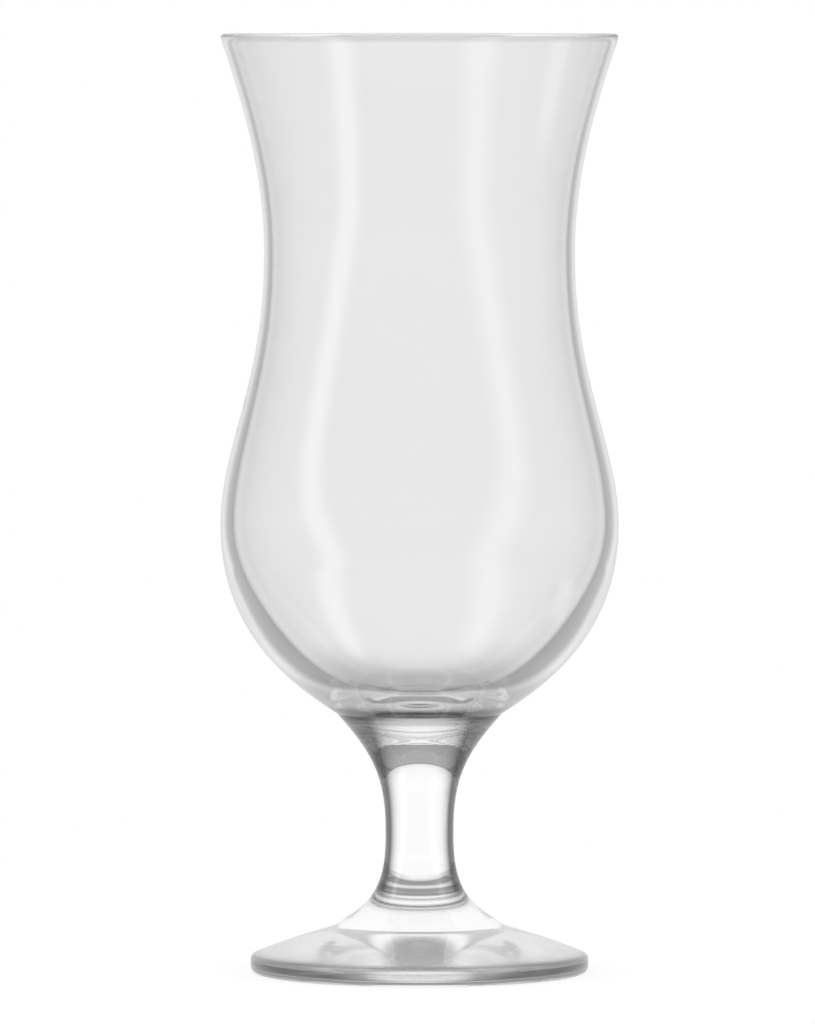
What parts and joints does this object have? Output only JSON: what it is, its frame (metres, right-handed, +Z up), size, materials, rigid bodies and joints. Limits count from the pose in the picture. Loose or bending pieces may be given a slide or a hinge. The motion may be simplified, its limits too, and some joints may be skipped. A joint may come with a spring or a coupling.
{
  "type": "cocktail glass",
  "caption": "Clear hurricane cocktail glass: hourglass bowl with a flared lip and round belly, fused to a short solid stem and a round foot; holds a long iced drink.",
  "frame": {"origin": "centre of the standing ring, on the surface that the glass stands on", "axes": "+Z up along the axis of revolution, from foot to lip; +X and +Y are free, because the glass is round"},
  "size_m": [0.083, 0.083, 0.195],
  "materials": {
    "clear_glass": "fire-polished clear soda-lime glass"
  },
  "bodies": {
    "root": {"bowl": "clear_glass", "stem": "clear_glass", "foot": "clear_glass"}
  },
  "joints": []
}
